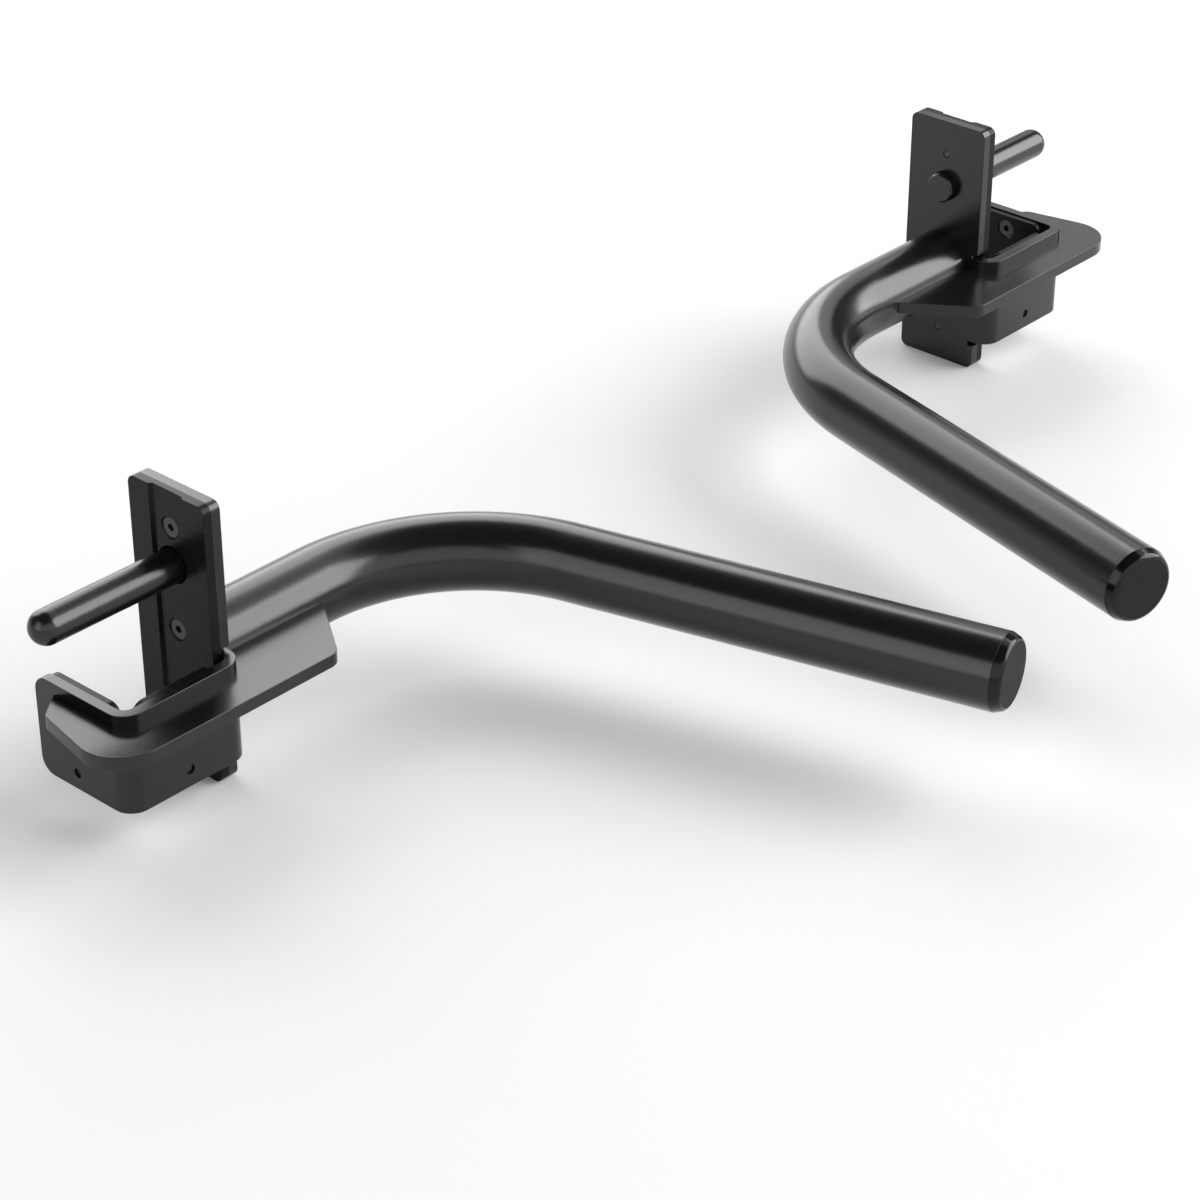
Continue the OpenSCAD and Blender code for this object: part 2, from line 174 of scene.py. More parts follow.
for name, box in SOFTBOXES.items():
    wide, high = [2 * box["off"] * math.tan(math.radians(span / 2)) for span in box["spans"]]
    lamp = bpy.data.lights.new(name, "AREA")
    lamp.shape = "RECTANGLE"
    lamp.size = wide
    lamp.size_y = high
    lamp.energy = box["brightness"] * lamp.size * lamp.size_y * POWER_PER_BRIGHTNESS
    holder = bpy.data.objects.new(name, lamp)
    away = toward(box["turn"], box["height"])
    holder.matrix_world = (
        Matrix.Translation(LOOK_AT + box["off"] * away) @ away.to_track_quat("Z", "Y").to_matrix().to_4x4()
    )
    holder.visible_camera = False
    bpy.context.scene.collection.objects.link(holder)
    print(name, "is", round(lamp.size, 2), "by", round(lamp.size_y, 2), "m,", round(lamp.energy), "W")

# %% [markdown]
# The rest of the studio is the world: pale walls at the height of the horizon, and a dark ceiling, which is
# what makes the tops of the round bars turn black between the softboxes' reflections. The world's shader
# gets the direction of each ray, and its height picks the grey from a ramp. Below the horizon it is white,
# so that a low view runs on from the floor's far edge without a band.

# %% World
WORLD_RAMP = [(0.0, 1.0), (0.002, 0.75), (0.09, 0.6), (0.3, 0.2), (0.8, 0.07)]
world = bpy.data.worlds.new("studio")
bpy.context.scene.world = world
world.use_nodes = True
nodes = world.node_tree.nodes
links = world.node_tree.links
background = nodes["Background"]
direction = nodes.new("ShaderNodeTexCoord")
parts = nodes.new("ShaderNodeSeparateXYZ")
ramp = nodes.new("ShaderNodeValToRGB")
for spot, (position, grey) in enumerate(WORLD_RAMP):
    element = ramp.color_ramp.elements[spot] if spot < 2 else ramp.color_ramp.elements.new(position)
    element.position = position
    element.color = (grey, grey, grey, 1)
links.new(direction.outputs["Generated"], parts.inputs[0])
links.new(parts.outputs["Z"], ramp.inputs["Fac"])
links.new(ramp.outputs["Color"], background.inputs["Color"])
bpy.context.scene.view_settings.view_transform = "Standard"
print("world greys:", [grey for position, grey in WORLD_RAMP])

# %% [markdown]
# The floor is a plain pale sheet that the brackets' feet stand on. Its colour is chosen so that, lit by all
# the lamps, it comes out just at the white of the photograph, and its shadows stay pale and soft. It is
# round and ends in front of the far softboxes, because behind them it would be dark.

# %% Floor
FLOOR_COLOUR = 0.68
FLOOR_REACH = 8.8
FLOOR_SIDES = 64
floor_mesh = bpy.data.meshes.new("floor")
floor_z = cad_low.z
turns = [2 * math.pi * k / FLOOR_SIDES for k in range(FLOOR_SIDES)]
floor_mesh.from_pydata(
    [(LOOK_AT.x + FLOOR_REACH * math.cos(t), LOOK_AT.y + FLOOR_REACH * math.sin(t), floor_z) for t in turns],
    [], [tuple(range(FLOOR_SIDES))],
)
floor = bpy.data.objects.new("floor", floor_mesh)
bpy.context.scene.collection.objects.link(floor)
paint = bpy.data.materials.new("floor_paint")
paint.use_nodes = True
surface = paint.node_tree.nodes["Principled BSDF"]
surface.inputs["Base Color"].default_value = (FLOOR_COLOUR, FLOOR_COLOUR, FLOOR_COLOUR, 1)
surface.inputs["Roughness"].default_value = 1
surface.inputs["Specular IOR Level"].default_value = 0
floor_mesh.materials.append(paint)
floor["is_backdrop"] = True
print("floor at", round(floor_z, 4), "m")

# %% [markdown]
# ## The finishes
# Every finish is a small network of nodes. Patterns read Object coordinates, which are metres in the model's
# frame, so a grain has one real size on every piece and doesn't slide when a handle moves. These helpers add
# the parts that all four finishes share: a cloud of noise, a grey or a colour picked from it, and relief.

# %% Helpers for the finishes
NOISE_MIDDLE = (0.3, 0.7)


class Finish:
    """A material with one principled shader, and short ways to add patterns to it."""

    def __init__(self, name, metallic, refraction):
        self.material = bpy.data.materials.new(name)
        self.material.use_nodes = True
        self.nodes = self.material.node_tree.nodes
        self.links = self.material.node_tree.links
        self.shader = self.nodes["Principled BSDF"]
        self.shader.inputs["Metallic"].default_value = metallic
        self.shader.inputs["IOR"].default_value = refraction
        self.where = self.nodes.new("ShaderNodeTexCoord").outputs["Object"]

    def cloud(self, grain, detail=2.0, stretch=(1, 1, 1)):
        """Noise whose lumps are about grain metres across, longer along an axis where stretch is above 1."""
        mapping = self.nodes.new("ShaderNodeMapping")
        mapping.inputs["Scale"].default_value = [1 / (grain * s) for s in stretch]
        noise = self.nodes.new("ShaderNodeTexNoise")
        noise.inputs["Scale"].default_value = 1
        noise.inputs["Detail"].default_value = detail
        self.links.new(self.where, mapping.inputs["Vector"])
        self.links.new(mapping.outputs["Vector"], noise.inputs["Vector"])
        return noise.outputs["Fac"]

    def spread(self, pattern, low, high):
        """The pattern's middle range stretched to run from low to high."""
        span = self.nodes.new("ShaderNodeMapRange")
        for socket, value in zip(("From Min", "From Max", "To Min", "To Max"), (*NOISE_MIDDLE, low, high)):
            span.inputs[socket].default_value = value
        self.links.new(pattern, span.inputs["Value"])
        return span.outputs["Result"]

    def colour(self, pattern, dark, light):
        """Base colour between two colours, picked by a pattern."""
        mix = self.nodes.new("ShaderNodeMix")
        mix.data_type = "RGBA"
        mix.inputs["A"].default_value = (*dark, 1)
        mix.inputs["B"].default_value = (*light, 1)
        self.links.new(self.spread(pattern, 0, 1), mix.inputs["Factor"])
        self.links.new(mix.outputs["Result"], self.shader.inputs["Base Color"])

    def roughness(self, pattern, low, high):
        """Roughness between two values, picked by a pattern."""
        self.links.new(self.spread(pattern, low, high), self.shader.inputs["Roughness"])

    def relief(self, patterns):
        """Bumps on the surface, from (pattern, height in metres) pairs laid over each other."""
        below = None
        for pattern, height in patterns:
            bump = self.nodes.new("ShaderNodeBump")
            bump.inputs["Strength"].default_value = 1
            bump.inputs["Distance"].default_value = height
            self.links.new(pattern, bump.inputs["Height"])
            if below:
                self.links.new(below, bump.inputs["Normal"])
            below = bump.outputs["Normal"]
        self.links.new(below, self.shader.inputs["Normal"])


print("finish helpers ready")

# %% [markdown]
# ### Powder coat
# The steel is blasted, dusted with black powder and baked. The powder melts to a skin with a fine orange
# peel: bumps half a millimetre wide and a hundredth of one high, on a slower waviness. That is why its
# highlights are soft and speckled. The skin is a plastic, so the shader is not metallic.

# %% Powder coat
coat = Finish("powder_coat", metallic=0, refraction=1.5)
peel = coat.cloud(grain=0.5 * MM, detail=3)
sag = coat.cloud(grain=5 * MM, detail=1)
dust = coat.cloud(grain=1.6 * MM, detail=4)
coat.colour(dust, dark=(0.003, 0.003, 0.0031), light=(0.0055, 0.0055, 0.0058))
coat.roughness(dust, 0.2, 0.25)
coat.relief([(sag, 0.03 * MM), (peel, 0.012 * MM)])
print("powder coat:", len(coat.nodes), "nodes")

# %% [markdown]
# ### Liner plastic
# The liners are cut from black slippery sheet, the plastic that machine guides are made of. It is waxy and a
# touch more matt than the coat, with faint marks of the knife that runs along the sheet. Stretching the
# noise along Z gives those marks.

# %% Liner plastic
liner = Finish("liner_plastic", metallic=0, refraction=1.23)
knife = liner.cloud(grain=0.8 * MM, detail=2, stretch=(1, 1, 30))
haze = liner.cloud(grain=3 * MM, detail=3)
liner.colour(haze, dark=(0.004, 0.004, 0.0042), light=(0.0055, 0.0055, 0.0058))
liner.roughness(haze, 0.26, 0.31)
liner.relief([(knife, 0.0015 * MM), (haze, 0.008 * MM)])
print("liner plastic:", len(liner.nodes), "nodes")

# %% [markdown]
# ### Cap plastic
# The end caps are moulded. The mould's grain is even and fine, with a slow drift of grey where the plastic
# flowed. Their roughness follows with the caps themselves, because it differs from place to place.

# %% Cap plastic
moulded = Finish("cap_plastic", metallic=0, refraction=1.34)
spark = moulded.cloud(grain=0.35 * MM, detail=2)
flow = moulded.cloud(grain=12 * MM, detail=1)
moulded.colour(flow, dark=(0.002, 0.002, 0.002), light=(0.004, 0.004, 0.004))
moulded.relief([(spark, 0.01 * MM)])
print("cap plastic:", len(moulded.nodes), "nodes")

# %% [markdown]
# ### Blackened screws
# The screws are bare steel with a thin black oxide. It is still a metal, so it mirrors the studio in a dark
# grey, brighter than the plastic round it. The oxide is patchy on a small scale.

# %% Black oxide
oxide = Finish("black_oxide", metallic=1, refraction=1.5)
patch = oxide.cloud(grain=1.2 * MM, detail=3)
grit = oxide.cloud(grain=0.25 * MM, detail=2)
oxide.colour(patch, dark=(0.055, 0.055, 0.056), light=(0.08, 0.08, 0.081))
oxide.roughness(grit, 0.3, 0.42)
oxide.relief([(grit, 0.006 * MM)])
print("black oxide:", len(oxide.nodes), "nodes")

# %% [markdown]
# ## The pieces
# Each piece stands for one solid of the model. It takes its finish from one of the record's slots and rides
# on its handle's body, so that it moves when the handles are set further apart.

# %% Handing a piece over
FINISHES = {
    "coated_steel": coat.material, "liner_plastic": liner.material,
    "cap_plastic": moulded.material, "screw_steel": oxide.material,
}


def hand_over(side, part, mesh, slot):
    """Makes the piece that stands for a node out of a finished mesh."""
    name = side + "_" + part
    piece = bpy.data.objects.new(name + "_finished", mesh)
    bpy.context.scene.collection.objects.link(piece)
    mesh.materials.clear()
    mesh.materials.append(FINISHES[slot])
    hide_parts(name)
    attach(piece, side + "_handle")
    return piece


print(len(FINISHES), "finishes for", len(frame["nodes"]), "nodes")

# %% [markdown]
# ### Plates and liners with real edges
# The bracket is one piece of 8 mm steel: cut with a laser, bent twice, coated. The gusset is 10 mm flat steel
# and the three liners are cut sheet. The model has their exact shapes, but with knife-sharp edges, which no
# coated piece has: powder flows back from an edge and leaves it round, and that round catches the light as
# a thin line. So each solid is copied, its triangles are merged back into whole faces, and a Bevel modifier
# rounds every square edge. Each edge has a weight for how wide its round is: less beside a screw head, where
# the land is narrow, and where a liner lies on the steel, so that no gap opens between them.

# %% Which edges are rounded, and how far
SCREW_COUNTS = {"face_liner_screws": 3, "side_liner_screws": 2, "back_liner_screws": 2}
SCREW_ALONG = {"face_liner_screws": 0, "side_liner_screws": 1, "back_liner_screws": 0}
HEAD_R = 7.5
EDGE_ROUND = 0.45 * MM
LINER_ROUND = 0.8 * EDGE_ROUND
FINE_SHARE = 0.3
SQUARE_ANGLE = math.radians(50)
CREASE_ANGLE = math.radians(20)
SCREW_ZONE = 9 * MM
SEAM_X = -7 * MM
SEAM_NEAR = 0.05 * MM


def screw_axes(side):
    """Middle of each screw of a handle and the axis it lies along, read from the screws' own boxes."""
    axes = []
    radius = HEAD_R * MM
    for part, count in SCREW_COUNTS.items():
        low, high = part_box(side + "_" + part)
        for k in range(count):
            middle = (low + high) / 2
            middle.z = low.z + radius + k * (high.z - low.z - 2 * radius) / (count - 1)
            axes.append((middle, SCREW_ALONG[part]))
    return axes


def edge_share(point, side, axes, seam):
    """How wide the round of an edge at this point is, as a share of the full one."""
    for middle, along in axes:
        gap = point - middle
        depth = abs(gap[along])
        gap[along] = 0
        if gap.length < SCREW_ZONE and depth < 2 * SCREW_ZONE:
            return FINE_SHARE
    own_x = (place(side).inverted() @ point).x
    if seam and abs(own_x - SEAM_X) < SEAM_NEAR:
        return FINE_SHARE
    return 1


print("edges are rounded by", round(EDGE_ROUND / MM, 2), "mm, or", round(FINE_SHARE * EDGE_ROUND / MM, 2))

# %% [markdown]
# Where the edges of a solid are shorter than the round, as in a tight notch, the round folds over itself.
# So the result is looked at: wherever two of its faces turn back on each other, the edges close by get a
# finer round, or in the end none, and the piece is made again until nothing folds.

# %% Rounded copies
SAME_POINT = 0.001 * MM
SAME_FACE = math.radians(0.2)
ROUND_STEPS = 3
FOLD_ANGLE = math.radians(135)
FOLD_REACH = 1.5 * MM
LEAST_SHARE = 0.05
MOST_TRIES = 24


def folds(mesh):
    """Places where a rounded mesh folds back on itself."""
    bm = bmesh.new()
    bm.from_mesh(mesh)
    spots = [
        (edge.verts[0].co + edge.verts[1].co) / 2
        for edge in bm.edges
        if len(edge.link_faces) == 2 and edge.calc_face_angle() > FOLD_ANGLE
    ]
    bm.free()
    return spots


def rounded_copy(side, part, slot, width, seam=False):
    """A node's solid with every square edge rounded, as a plain mesh."""
    bm = bmesh.new()
    bm.from_mesh(frame["nodes"][side + "_" + part].data)
    bmesh.ops.remove_doubles(bm, verts=bm.verts, dist=SAME_POINT)
    bmesh.ops.dissolve_limit(bm, angle_limit=SAME_FACE, verts=bm.verts, edges=bm.edges)
    weights = bm.edges.layers.float.new("bevel_weight_edge")
    axes = screw_axes(side)
    for face in bm.faces:
        face.smooth = True
    for edge in bm.edges:
        turn = edge.calc_face_angle()
        edge.smooth = turn < CREASE_ANGLE or turn > SQUARE_ANGLE
        if turn > SQUARE_ANGLE:
            edge[weights] = edge_share((edge.verts[0].co + edge.verts[1].co) / 2, side, axes, seam)
    source = bpy.data.meshes.new("source")
    bm.to_mesh(source)
    source.attributes.remove(source.attributes["custom_normal"])
    holder = bpy.data.objects.new("holder", source)
    bpy.context.scene.collection.objects.link(holder)
    bevel = holder.modifiers.new("rounded_edges", "BEVEL")
    bevel.limit_method = "WEIGHT"
    bevel.width = width
    bevel.segments = ROUND_STEPS
    bevel.use_clamp_overlap = False
    bevel.harden_normals = True
    for attempt in range(MOST_TRIES):
        holder.update_tag()
        mesh = bpy.data.meshes.new_from_object(holder.evaluated_get(bpy.context.evaluated_depsgraph_get()))
        spots = folds(mesh)
        if not spots:
            break
        for edge, weight in zip(source.edges, source.attributes["bevel_weight_edge"].data):
            ends = [source.vertices[v].co for v in edge.vertices]
            if weight.value and any((end - spot).length < FOLD_REACH for end in ends for spot in spots):
                weight.value *= FINE_SHARE
                if weight.value < LEAST_SHARE:
                    weight.value = 0
                    edge.use_edge_sharp = True
        source.update()
    bpy.data.objects.remove(holder)
    mesh.name = side + "_" + part + "_finished"
    hand_over(side, part, mesh, slot)
    print(mesh.name, "has", len(mesh.polygons), "faces after", attempt + 1, "tries, folds left:", len(spots))


for side in MIRROR:
    rounded_copy(side, "mounting_plate", "coated_steel", EDGE_ROUND, seam=True)
    rounded_copy(side, "gusset", "coated_steel", EDGE_ROUND)
    rounded_copy(side, "face_liner", "liner_plastic", LINER_ROUND, seam=True)
    rounded_copy(side, "side_liner", "liner_plastic", LINER_ROUND)
    rounded_copy(side, "back_liner", "liner_plastic", LINER_ROUND)

# %% [markdown]
# ### The bent bar
# A bar for dips is a tube drawn round a die: straight from the bracket, one wide bend, and a straight grip.
# Its shape follows a rule, so Geometry Nodes make it: a path of three points, a fillet that turns the middle
# point into the bend, and a circle swept along it. The sizes are the tree's inputs, so another bar is only
# other numbers. A Solidify modifier then gives the tube its wall, inwards, and a Bevel eases the two mouths.

# %% Tree for a bent tube


def add_inputs(tree, wanted):
    """Declares a tree's inputs and gives their identifiers by name."""
    return {
        name: tree.interface.new_socket(name, in_out="INPUT", socket_type=kind).identifier
        for name, kind in wanted
    }


bend_tree = bpy.data.node_groups.new("bent_tube", "GeometryNodeTree")
bend_tree.interface.new_socket("Geometry", in_out="INPUT", socket_type="NodeSocketGeometry")
bend_tree.interface.new_socket("Geometry", in_out="OUTPUT", socket_type="NodeSocketGeometry")
bend_inputs = add_inputs(bend_tree, [
    ("Bend Radius", "NodeSocketFloat"), ("Steps In Bend", "NodeSocketInt"),
    ("Tube Radius", "NodeSocketFloat"), ("Steps Around", "NodeSocketInt"),
    ("Finish", "NodeSocketMaterial"),
])
nodes = bend_tree.nodes
links = bend_tree.links
given = nodes.new("NodeGroupInput")
path = nodes.new("GeometryNodeMeshToCurve")
fillet = nodes.new("GeometryNodeFilletCurve")
fillet.mode = "POLY"
ring = nodes.new("GeometryNodeCurvePrimitiveCircle")
sweep = nodes.new("GeometryNodeCurveToMesh")
smooth = nodes.new("GeometryNodeSetShadeSmooth")
real = nodes.new("GeometryNodeRealizeInstances")
finish = nodes.new("GeometryNodeSetMaterial")
made = nodes.new("NodeGroupOutput")
links.new(given.outputs["Geometry"], path.inputs["Mesh"])
links.new(path.outputs["Curve"], fillet.inputs["Curve"])
links.new(given.outputs["Bend Radius"], fillet.inputs["Radius"])
links.new(given.outputs["Steps In Bend"], fillet.inputs["Count"])
links.new(given.outputs["Tube Radius"], ring.inputs["Radius"])
links.new(given.outputs["Steps Around"], ring.inputs["Resolution"])
links.new(fillet.outputs["Curve"], sweep.inputs["Curve"])
links.new(ring.outputs["Curve"], sweep.inputs["Profile Curve"])
links.new(sweep.outputs["Mesh"], smooth.inputs["Geometry"])
links.new(smooth.outputs["Geometry"], real.inputs["Geometry"])
links.new(real.outputs["Geometry"], finish.inputs["Geometry"])
links.new(given.outputs["Finish"], finish.inputs["Material"])
links.new(finish.outputs["Geometry"], made.inputs["Geometry"])
print("bent tube tree:", len(nodes), "nodes")

# %% [markdown]
# A node tree's result only lives while its modifier does. This helper sets the inputs, lets Blender work the
# tree out, keeps the result as a plain mesh and throws the helper object away.

# %% Baking a tree


def grow(start, tree, values):
    """The mesh that a tree makes of a start mesh, with its inputs set by identifier."""
    holder = bpy.data.objects.new("holder", start)
    bpy.context.scene.collection.objects.link(holder)
    modifier = holder.modifiers.new("tree", "NODES")
    modifier.node_group = tree
    for identifier, value in values.items():
        modifier[identifier] = value
    holder.update_tag()
    depsgraph = bpy.context.evaluated_depsgraph_get()
    mesh = bpy.data.meshes.new_from_object(holder.evaluated_get(depsgraph))
    holder.modifiers.clear()
    bpy.data.objects.remove(holder)
    return mesh


print("tree baking ready")

# %% [markdown]
# The bar's sizes are those of the model's source: 57 mm tube with a 3 mm wall, 111.5 mm from the plate to the
# bend, a bend of 152.5 mm radius through 75 degrees, and a grip of 327.5 mm. The path's middle point lies
# where the two straights would meet, which is the bend's radius times the tangent of half its angle past
# the start of the bend.

# %% Bent bars
STEPS_AROUND = 96
STEPS_IN_BEND = 50
BAR_RADIUS = 28.5 * MM
BAR_WALL = 3 * MM
BAR_Z = -70.5 * MM
PLATE_IN = -15 * MM
BAR_ROOT = 111.5 * MM
BEND_RADIUS = 152.5 * MM
BEND_ANGLE = math.radians(75)
GRIP_LENGTH = 327.5 * MM
MOUTH_EASE = 0.2 * MM
MOUTH_ANGLE = math.radians(50)
grip_along = Vector((-math.cos(BEND_ANGLE), -math.sin(BEND_ANGLE), 0))
root_end = Vector((PLATE_IN, 0, BAR_Z))
past_bend = BEND_RADIUS * math.tan(BEND_ANGLE / 2)
corner = root_end - Vector((BAR_ROOT + past_bend, 0, 0))
open_end = corner + grip_along * (past_bend + GRIP_LENGTH)


def bent_bar(side):
    """The tube of one handle."""
    spine = bpy.data.meshes.new("spine")
    spine.from_pydata([place(side) @ p for p in (root_end, corner, open_end)], [(0, 1), (1, 2)], [])
    mesh = grow(spine, bend_tree, {
        bend_inputs["Bend Radius"]: BEND_RADIUS,
        bend_inputs["Steps In Bend"]: STEPS_IN_BEND,
        bend_inputs["Tube Radius"]: BAR_RADIUS,
        bend_inputs["Steps Around"]: STEPS_AROUND,
        bend_inputs["Finish"]: FINISHES["coated_steel"],
    })
    mesh.name = side + "_dip_bar_finished"
    first = mesh.polygons[0]
    axis_point = place(side) @ root_end
    off_axis = first.center - axis_point
    off_axis.x = 0
    if first.normal.dot(off_axis) < 0:
        mesh.flip_normals()
    piece = hand_over(side, "dip_bar", mesh, "coated_steel")
    wall = piece.modifiers.new("wall", "SOLIDIFY")
    wall.thickness = BAR_WALL
    wall.offset = -1
    wall.use_even_offset = True
    ease = piece.modifiers.new("eased_mouths", "BEVEL")
    ease.limit_method = "ANGLE"
    ease.angle_limit = MOUTH_ANGLE
    ease.width = MOUTH_EASE
    ease.segments = 2
    ease.harden_normals = True
    print(piece.name, "has", len(mesh.polygons), "faces on its outside")


for side in MIRROR:
    bent_bar(side)

# %% [markdown]
# ### Turned pieces
# The rack pin and the end cap are round about one axis, so a half section is enough: a list of radius and
# height, spun round Z and then laid on its axis. A sharp corner would make the shading smear over the flat
# face beside it, so each corner is a short arc and the flat face gets a ring of its own close to it.

# %% Lathe
ON_AXIS = 1e-6
TURNED_CREASE = math.radians(40)


def arc(centre_r, centre_z, radius, start, stop, steps):
    """Points of an arc in the half section, angles in degrees from the outward direction."""
    angles = [math.radians(start + (stop - start) * k / steps) for k in range(steps + 1)]
    return [(centre_r + radius * math.cos(a), centre_z + radius * math.sin(a)) for a in angles]


def skin(bm, rings, around):
    """Faces between each ring of points and the next, where a ring of one point is a tip."""
    for low, high in zip(rings, rings[1:]):
        for k in range(around):
            n = (k + 1) % around
            corners = [low[k % len(low)], low[n % len(low)], high[n % len(high)], high[k % len(high)]]
            bm.faces.new(list(dict.fromkeys(corners)))


def lathe(name, section, matrix):
    """Spins a half section, in millimetres, round Z and lays it where the matrix says."""
    bm = bmesh.new()
    rings = []
    for radius, height in section:
        angles = [2 * math.pi * k / STEPS_AROUND for k in range(1 if radius < ON_AXIS else STEPS_AROUND)]
        rings.append([
            bm.verts.new((radius * MM * math.cos(a), radius * MM * math.sin(a), height * MM)) for a in angles
        ])
    skin(bm, rings, STEPS_AROUND)
    bm.transform(matrix)
    bmesh.ops.recalc_face_normals(bm, faces=bm.faces)
    mesh = bpy.data.meshes.new(name)
    for face in bm.faces:
        face.smooth = True
    bm.to_mesh(mesh)
    bm.free()
    mesh.set_sharp_from_angle(angle=TURNED_CREASE)
    return mesh


print("lathe ready")

# %% [markdown]
# ### The rack pin
# A 25 mm round bar that goes through the plate. Its nose is a half ball, which finds the hole in the rack's
# upright. Its other end stands 8 mm out of the plate's far side, above the bent bar, with a turned chamfer.
# Round its root, in the liner's hole, lies the weld, a hollow fillet: the photograph shows only a dark ring
# there, so its size is a guess.

# %% Rack pins
PIN_R = 12.5
PIN_NOSE = 119
STUB_END = -23
STUB_CHAMFER = 1.2
CHAMFER_EASE = 0.25
FLAT_RING = 0.8
WELD_LEG = 1
WELD_STEPS = 6
PLATE_OUT = -7
NOSE_RING = 0.5
weld_angles = [math.pi / 2 * k / WELD_STEPS for k in range(1, WELD_STEPS + 1)]
pin_section = (
    [(0, STUB_END), (PIN_R - STUB_CHAMFER - FLAT_RING, STUB_END)]
    + arc(PIN_R - STUB_CHAMFER - CHAMFER_EASE, STUB_END + CHAMFER_EASE, CHAMFER_EASE, -90, -45, 4)
    + arc(PIN_R - CHAMFER_EASE, STUB_END + STUB_CHAMFER + CHAMFER_EASE / 2, CHAMFER_EASE, -45, 0, 4)
    + [(PIN_R, PLATE_OUT), (PIN_R + WELD_LEG, PLATE_OUT)]
    + [
        (PIN_R + WELD_LEG * (1 - math.sin(a)), PLATE_OUT + WELD_LEG * (1 - math.cos(a)))
        for a in weld_angles
    ]
    + [(PIN_R, PIN_NOSE - PIN_R - NOSE_RING)]
    + arc(0, PIN_NOSE - PIN_R, PIN_R, 0, 89.9, 24)
    + [(0, PIN_NOSE)]
)


def along_pin(side):
    """Matrix that lays Z along a handle's rack pin."""
    return place(side) @ Matrix.Rotation(math.radians(90), 4, "Y")


for side in MIRROR:
    mesh = lathe(side + "_rack_pin_finished", pin_section, along_pin(side))
    hand_over(side, "rack_pin", mesh, "coated_steel")
    print(side, "rack pin:", len(mesh.polygons), "faces")

# %% [markdown]
# ### The end cap
# A moulded plug: outside the tube its side slopes in to a rounded rim and a flat, bare face, and inside is a
# hollow spigot with three ribs that grip the tube's bore. The ribs are out of sight, but the piece is whole,
# as the real one is. The side is a straight line that meets the rim's arc as its tangent.

# %% End caps
CAP_LENGTH = 7.8
RIM_R = 4.5
SIDE_SLOPE = 22
BAR_R = 28.5
SEAM_EASE = 0.2
RIB_R = 25.4
SPIGOT_R = 24.4
SPIGOT_BORE = 21.9
SPIGOT_LENGTH = 24
FACE_THICK = 3
FACE_RING = 0.6
RIB_MIDDLES = (-22.5, -14.5, -6.5)
RIB_FOOT = 1
RIB_TOP = 0.8
rim_z = CAP_LENGTH - RIM_R
side_run = (rim_z - SEAM_EASE) * math.sin(math.radians(SIDE_SLOPE))
rim_x = BAR_R - (RIM_R + side_run) / math.cos(math.radians(SIDE_SLOPE))
seam_arc = arc(BAR_R - SEAM_EASE, SEAM_EASE, SEAM_EASE, -90, SIDE_SLOPE, 4)
rim_arc = arc(rim_x, rim_z, RIM_R, SIDE_SLOPE, 90, 18)
near_seam, near_rim = [
    tuple(a + (b - a) * share for a, b in zip(seam_arc[-1], rim_arc[0])) for share in (0.1, 0.9)
]
ribs = []
for middle in RIB_MIDDLES:
    ribs += [(SPIGOT_R, middle - RIB_FOOT), (RIB_R, middle - RIB_TOP)]
    ribs += [(RIB_R, middle + RIB_TOP), (SPIGOT_R, middle + RIB_FOOT)]
cap_section = (
    [(0, CAP_LENGTH - FACE_THICK), (SPIGOT_BORE, CAP_LENGTH - FACE_THICK), (SPIGOT_BORE, -SPIGOT_LENGTH)]
    + [(SPIGOT_R, -SPIGOT_LENGTH)]
    + ribs
    + [(SPIGOT_R, 0), (BAR_R - SEAM_EASE, 0)]
    + seam_arc + [near_seam, near_rim] + rim_arc
    + [(rim_x - FACE_RING, CAP_LENGTH), (0, CAP_LENGTH)]
)


def out_of_bar(side):
    """Matrix that stands Z on a bar's open end, out of it."""
    turn = grip_along.to_track_quat("Z", "Y").to_matrix().to_4x4()
    return place(side) @ Matrix.Translation(open_end) @ turn


for side in MIRROR:
    mesh = lathe(side + "_end_cap_finished", cap_section, out_of_bar(side))
    hand_over(side, "end_cap", mesh, "cap_plastic")
    print(side, "end cap:", len(mesh.polygons), "faces")

# %% [markdown]
# The mould is polished where it shapes the side and the rim, and spark-eroded where it shapes the face, so
# the rim shines and the face is dull. The shader tells them apart by how far out along the bar a point lies.
# Folding X over the middle of the rack lays one handle's cap on the other's, so one material serves both.

# %% Polished rim, dull face
POLISHED = (0.12, 0.16)
DULL = (0.7, 0.76)
FACE_STARTS = 7.5 * MM
FACE_FULL = 7.75 * MM
RACK_MIDDLE = (place("left").translation.x + place("right").translation.x) / 2
fold = moulded.nodes.new("ShaderNodeVectorMath")
fold.operation = "SUBTRACT"
fold.inputs[1].default_value = (RACK_MIDDLE, 0, 0)
unsigned = moulded.nodes.new("ShaderNodeVectorMath")
unsigned.operation = "ABSOLUTE"
out_along = moulded.nodes.new("ShaderNodeVectorMath")
out_along.operation = "DOT_PRODUCT"
out_along.inputs[1].default_value = (grip_along.x, -grip_along.y, 0)
bar_ends = open_end.dot(grip_along) + RACK_MIDDLE * grip_along.x
dulled = moulded.nodes.new("ShaderNodeMapRange")
dulled.inputs["From Min"].default_value = bar_ends + FACE_STARTS
dulled.inputs["From Max"].default_value = bar_ends + FACE_FULL
moulded.links.new(moulded.where, fold.inputs[0])
moulded.links.new(fold.outputs["Vector"], unsigned.inputs[0])
moulded.links.new(unsigned.outputs["Vector"], out_along.inputs[0])
moulded.links.new(out_along.outputs["Value"], dulled.inputs["Value"])
moulded.links.new(moulded.spread(spark, *POLISHED), dulled.inputs["To Min"])
moulded.links.new(moulded.spread(spark, *DULL), dulled.inputs["To Max"])
moulded.links.new(dulled.outputs["Result"], moulded.shader.inputs["Roughness"])
